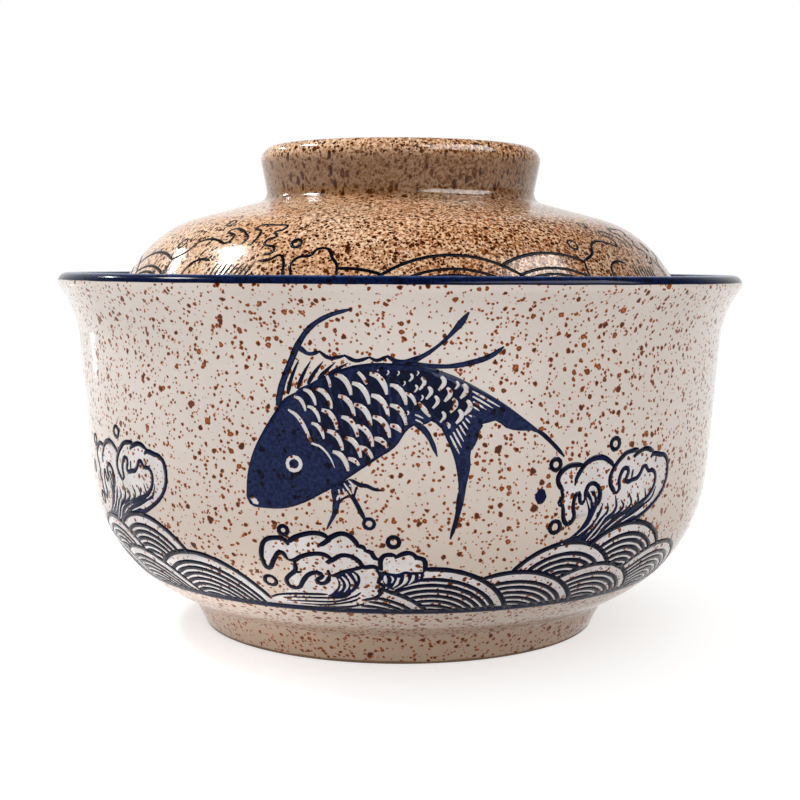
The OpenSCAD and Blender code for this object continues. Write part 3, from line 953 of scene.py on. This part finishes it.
def lay_skin(tree, shader, marks, strength):
    height = node(tree, "ShaderNodeGroup", [("Specks", marks)], node_tree=SKIN).outputs["Height"]
    values = [("Height", height), ("Strength", strength), ("Distance", SKIN_DEPTH)]
    feed(tree, shader.inputs["Normal"], node(tree, "ShaderNodeBump", values).outputs["Normal"])


def bare_clay(tree, colour):
    """Leaves the clay bare under the foot, with a soft uneven edge. Gives the colour and the mask."""
    coords = position(tree)
    uneven = times(tree, cloud(tree, coords, 140.0, 2.0)["Fac"], 0.0008)
    level = maths(tree, "ADD", axes(tree)["Z"], uneven)
    bare = maths(tree, "SUBTRACT", 1.0, ramp(tree, level, BARE_BELOW, BARE_BELOW + BARE_EDGE))
    clay = mix(tree, cloud(tree, coords, 1500.0, 3.0)["Fac"], rgb(104, 78, 58), rgb(160, 130, 102))
    return mix(tree, bare, colour, clay), bare


def bowl_glaze():
    """Cream over the body, browner towards the foot as painted shade of the low bowl, and burnt through by
    specks.
    """
    material, tree, shader = new_material("cream_glaze")
    height = axes(tree)["Z"]
    colour = mix(tree, patches(tree, 22.0), rgb(214, 203, 195), rgb(222, 212, 205))
    # Painted shade: the glaze browns lower down the wall and more at the foot, standing in for the shade
    # there.
    colour = mix(tree, ramp(tree, height, *LOW_WALL_SHADE), colour, rgb(206, 188, 174))
    colour = mix(tree, ramp(tree, height, *FOOT_SHADE), colour, rgb(194, 169, 148))
    at_foot = (0.0016, 0.00064, times(tree, ramp(tree, height, *FOOT_SPECKS), 0.8), 0.61)
    colour, fine = speckle(tree, colour, (FINE,), rgb(104, 48, 12), rgb(164, 86, 30))
    colour, wide = speckle(tree, colour, (MIDDLE, COARSE, at_foot), IRON, RUST)
    colour, bare = bare_clay(tree, colour)
    coat(tree, shader, colour, scaled(tree, bare, 0.6, 0.12), 0.2)
    lay_skin(tree, shader, maths(tree, "MAXIMUM", fine, wide), 0.2)
    return material


def lid_glaze():
    """Pale tan under a dense burnt mottle, denser and darker brown towards the right; painted shade of darker
    brown on the side of the ring handle and in the cove at its foot, where the specks are also fewer and have
    run."""
    material, tree, shader = new_material("tan_glaze")
    place = axes(tree)
    height, rightward = place["Z"], ramp(tree, place["X"], *RIGHTWARD_MOTTLE)
    colour = mix(tree, patches(tree, 60.0), rgb(236, 192, 152), rgb(242, 212, 180))
    burnt = times(tree, patches(tree, 1300.0, 0.40, 0.62), patches(tree, 40.0, 0.1, 0.5))
    colour = mix(tree, times(tree, burnt, scaled(tree, rightward, 0.6, 0.4)), colour, rgb(160, 94, 40))
    colour = mix(tree, ramp(tree, place["X"], *RIGHTWARD_BROWN), colour, rgb(112, 62, 24))
    # The ring handle's side, down into the cove at its foot: painted shade there, and fewer specks that have
    # run.
    ring_side = times(tree, ramp(tree, height, *RING_FOOT), ramp(tree, height, *RING_CREST))
    elsewhere = scaled(tree, ring_side, -0.6, 1.0)
    grains = (0.00063, 0.00039, times(tree, scaled(tree, rightward, 0.5, 0.5), elsewhere), 0.21)
    dense = (0.0012, 0.00064, times(tree, elsewhere, 0.85), 0.47)
    drips = (0.0017, 0.00074, times(tree, ring_side, 0.85), 0.83)
    colour, marks = speckle(tree, colour, (grains, dense), rgb(46, 16, 0), rgb(108, 50, 2))
    # Painted shade: the side of the ring handle and the cove at its foot are darkened.
    colour = mix(tree, times(tree, ring_side, 0.72), colour, rgb(94, 58, 20))
    colour, _ = speckle(tree, colour, (drips,), rgb(56, 24, 0), rgb(108, 58, 10), 2.0)
    coat(tree, shader, colour, 0.12, 0.25)
    lay_skin(tree, shader, marks, 0.12)
    return material


def cobalt(name, edge, thick, thin, crest=None):
    """Brushed cobalt, darker where the brush left it thick, darkest where it gathered at the edges, and with
    a painted highlight of lighter blue on the crest of the lip where a colour is given for it."""
    material, tree, shader = new_material(name)
    colour = mix(tree, patches(tree, 1300.0, 0.3, 0.7), thick, thin)
    gathered = ramp(tree, node(tree, "ShaderNodeAttribute", attribute_name="rim").outputs["Fac"], 0.3, 1.0)
    colour = mix(tree, times(tree, gathered, 0.75), colour, edge)
    if crest:
        # Painted highlight: the lip's crest turns a lighter blue where light from above would shine on it.
        lip_highlight = times(tree, ramp(tree, axes(tree)["Z"], *LIP_HIGHLIGHT), patches(tree, 420.0, 0.2, 0.75))
        colour = mix(tree, lip_highlight, colour, crest)
    colour, _ = speckle(tree, colour, (MIDDLE, COARSE), edge, rgb(26, 24, 28))
    coat(tree, shader, colour, 0.14, 0.05)
    return material


def pale_glaze():
    """The pale glaze between the cobalt, a little blue from it."""
    material, tree, shader = new_material("pale_marks")
    colour = mix(tree, patches(tree, 120.0), rgb(211, 205, 203), rgb(223, 218, 218))
    colour, _ = speckle(tree, colour, (FINE, MIDDLE), IRON, RUST)
    coat(tree, shader, colour, 0.14, 0.2)
    return material


# Pieces
cream, tan, pale = bowl_glaze(), lid_glaze(), pale_glaze()
line_blue = cobalt("cobalt_line", rgb(2, 4, 22), rgb(5, 9, 36), rgb(16, 25, 70))
wash_blue = cobalt("cobalt_wash", rgb(9, 12, 32), rgb(23, 29, 57), rgb(38, 49, 88))
# The band's last colour is the painted highlight on the lip's crest.
band_blue = cobalt("cobalt_band", rgb(2, 6, 26), rgb(3, 8, 30), rgb(12, 27, 66), rgb(60, 86, 140))
tan_blue = cobalt("cobalt_on_tan", rgb(5, 8, 16), rgb(8, 11, 22), rgb(18, 24, 42))
# Heights where the ornament starts, the lines round bowl and lid from there up, and the lip's own line
BOWL_START, LID_START = 17.7, 82
BASE_LINE, LID_LINE = (-1.5, 0.6), (0.4, 1.4)
LIP_START, LIP_WIDTH = 91.2, 8.8
BASE_SEED, LID_SEED, LIP_SEED = 1.0, 2.0, 4.0
# How far up the lines of the waves begin
BOWL_FLOOR, LID_FLOOR = 0.0, 1.0

bowl_mesh = draw_outline(bowl_corners())
bowl_wall = Wall(bowl_mesh, BOWL_START)
throw(bowl_mesh)
finish_piece(bowl_mesh, "bowl_body", cream, "bowl", "bowl_glaze", "bowl")

lid_mesh = draw_outline(lid_corners())
lid_wall = Wall(lid_mesh, LID_START)
throw(lid_mesh)
finish_piece(lid_mesh, "lid_body", tan, "lid", "lid_glaze", "lid")

waves, wave_marks = bmesh.new(), bmesh.new()
lay_band(waves, bowl_wall, band(), 2 * QUARTER, BOWL_FLOOR)
for i, (shape, _) in enumerate(band()):
    cover(wave_marks, bowl_wall, shape, SLIP_INSET, SLIP_LIFT + i * SLIP_HAIR)
for x in (-QUARTER, 0):
    lay_root(waves, wave_marks, bowl_wall, x + CREST[0], CREST[1])
    for centre, radius, squash in CREST_DROPS:
        brush(waves, bowl_wall, spots(ring(centre, radius, squash), x), DROP_LINE, closed=True)
    fill(waves, bowl_wall, *[spots(side, x) for side in SPLASH], cell=0.7)
for centre, radius, squash in FOAM_DROPS:
    brush(waves, bowl_wall, ring(centre, radius, squash), DROP_LINE, closed=True)
lay_claw(waves, wave_marks, bowl_wall)

carp, carp_marks = bmesh.new(), bmesh.new()
lay_carp(carp, carp_marks, bowl_wall)
for bm in (waves, wave_marks, carp, carp_marks):
    repeat(bm, 2)
    thicken(bm)
finish_piece(waves, "bowl_waves", line_blue, "bowl", "cobalt_line")
finish_piece(wave_marks, "bowl_wave_ribs", pale, "bowl", "bowl_glaze")
finish_piece(carp, "bowl_carp", wash_blue, "bowl", "cobalt_line")
finish_piece(carp_marks, "bowl_carp_scales", pale, "bowl", "bowl_glaze")

bowl_lines = bmesh.new()
line_round(bowl_lines, bowl_wall, *BASE_LINE, BASE_SEED)
lip_start = bowl_wall.level(LIP_START)
line_round(bowl_lines, bowl_wall, lip_start, lip_start + LIP_WIDTH, LIP_SEED)
thicken(bowl_lines)
finish_piece(bowl_lines, "bowl_lines", band_blue, "bowl", "cobalt_line")

lid_waves = bmesh.new()
lay_band(lid_waves, lid_wall, lid_band(), QUARTER, LID_FLOOR, LID_THIN)
for centre, radius, squash, line in LID_DROPS:
    brush(lid_waves, lid_wall, ring(centre, radius, squash), line, closed=True)
repeat(lid_waves, 4)
line_round(lid_waves, lid_wall, *LID_LINE, LID_SEED)
thicken(lid_waves)
finish_piece(lid_waves, "lid_waves", tan_blue, "lid", "cobalt_line")


# Studio, in metres
FLOOR_SIZE, FLOOR_GLOW = 6.0, 0.58


def grey(level):
    return (level, level, level, 1.0)


def studio_floor():
    """A white floor; to the eye and in the glaze it also glows, so that it runs into the background."""
    bm = bmesh.new()
    bmesh.ops.create_grid(bm, x_segments=1, y_segments=1, size=FLOOR_SIZE)
    mesh = bpy.data.meshes.new("floor")
    bm.to_mesh(mesh)
    bm.free()
    material, tree, _ = new_material("floor_white")
    tree.nodes.clear()
    path = node(tree, "ShaderNodeLightPath").outputs
    mirrored = maths(tree, "MAXIMUM", path["Is Glossy Ray"], path["Is Transmission Ray"])
    seen = maths(tree, "MAXIMUM", path["Is Camera Ray"], mirrored)
    paper = node(tree, "ShaderNodeBsdfDiffuse", [("Color", grey(0.77))])
    matt = node(tree, "ShaderNodeBsdfDiffuse", [("Color", grey(0.62))])
    glow = node(tree, "ShaderNodeEmission", [("Color", grey(1.0)), ("Strength", FLOOR_GLOW)])
    part = node(tree, "ShaderNodeAddShader", [(0, matt.outputs[0]), (1, glow.outputs[0])])
    whole = node(tree, "ShaderNodeMixShader", [(0, seen), (1, paper.outputs[0]), (2, part.outputs[0])])
    node(tree, "ShaderNodeOutputMaterial", [("Surface", whole.outputs[0])])
    mesh.materials.append(material)
    floor = bpy.data.objects.new("floor", mesh)
    bpy.context.scene.collection.objects.link(floor)


def studio_world():
    """White to the eye; as light, a ceiling brighter than the walls; in the glaze, a dim room in front."""
    world = bpy.data.worlds.new("studio")
    bpy.context.scene.world = world
    world.use_nodes = True
    tree = world.node_tree
    tree.nodes.clear()
    path = node(tree, "ShaderNodeLightPath").outputs
    around = node(tree, "ShaderNodeTexCoord").outputs["Generated"]
    way = node(tree, "ShaderNodeSeparateXYZ", [("Vector", around)]).outputs
    backdrop = times(tree, ramp(tree, way["Y"], 0.1, 0.95), ramp(tree, way["Z"], 0.75, 0.25))
    room = mix(tree, backdrop, (0.06, 0.06, 0.07, 1.0), grey(1.0))
    ceiling = mix(tree, ramp(tree, way["Z"], -0.1, 1.0), grey(0.50), (0.95, 0.94, 0.92, 1.0))
    soft, glossy, white = [
        node(tree, "ShaderNodeBackground", [("Color", colour), ("Strength", 1.0)]).outputs[0]
        for colour in (ceiling, room, grey(1.0))]
    mirrored = maths(tree, "MAXIMUM", path["Is Glossy Ray"], path["Is Transmission Ray"])
    light = node(tree, "ShaderNodeMixShader", [(0, mirrored), (1, soft), (2, glossy)]).outputs[0]
    whole = node(tree, "ShaderNodeMixShader", [(0, path["Is Camera Ray"]), (1, light), (2, white)])
    node(tree, "ShaderNodeOutputWorld", [("Surface", whole.outputs[0])])


def soft_box(name, azimuth, elevation, away, width, height, watts, aim=(0, 0, 0.06), gloss_only=False):
    """A soft box round the object: azimuth in degrees to the right of the front, elevation above level, and
    how far away from what it aims at. One that is gloss_only shows in the glaze but gives no other light."""
    a, e = math.radians(azimuth), math.radians(elevation)
    back = Vector((math.sin(a) * math.cos(e), -math.cos(a) * math.cos(e), math.sin(e)))
    lamp = bpy.data.lights.new(name, "AREA")
    lamp.shape = "RECTANGLE"
    lamp.size, lamp.size_y, lamp.energy = width, height, watts
    box = bpy.data.objects.new(name, lamp)
    turned = back.to_track_quat("Z", "Y").to_matrix().to_4x4()
    box.matrix_world = Matrix.Translation(Vector(aim) + back * away) @ turned
    box.visible_diffuse = not gloss_only
    bpy.context.scene.collection.objects.link(box)


studio_floor()
studio_world()
soft_box("key_box", -3, 24, 1.3, 1.6, 0.7, 2.05)
soft_box("right_fill", 62, 28, 0.8, 0.5, 0.4, 0.35)
soft_box("window_box", -112, 48, 0.8, 0.16, 0.10, 3.4, (-0.050, -0.045, 0.097))
soft_box("lid_strip", -134, 30, 0.8, 0.11, 0.025, 0.7, (-0.062, -0.051, 0.097), gloss_only=True)
soft_box("side_box", 57, 41, 0.9, 0.9, 0.55, 20.0, (0, 0, 0.115), gloss_only=True)
soft_box("table_card", -46, -45, 0.018, 0.085, 0.014, 0.0045, (-0.048, -0.046, 0.019))
soft_box("edge_strip", -136, -6, 0.5, 0.015, 0.03, 0.014, (-0.0745, -0.0406, 0.077))

PHOTO_WIDTH, FOCAL_PIXELS, SENSOR = 800, 1419, 36.0
EYE, TILT, ROLL = (0.00014, -0.385, 0.09515), 0.0945, 0.005
camera = bpy.data.cameras.new("camera")
camera.sensor_width, camera.lens = SENSOR, FOCAL_PIXELS * SENSOR / PHOTO_WIDTH
eye = bpy.data.objects.new("camera", camera)
eye.matrix_world = (Matrix.Translation(EYE) @ Matrix.Rotation(math.pi / 2 - TILT, 4, "X")
                    @ Matrix.Rotation(ROLL, 4, "Z"))
bpy.context.scene.collection.objects.link(eye)
bpy.context.scene.camera = eye
bpy.context.scene.view_settings.view_transform = "Standard"
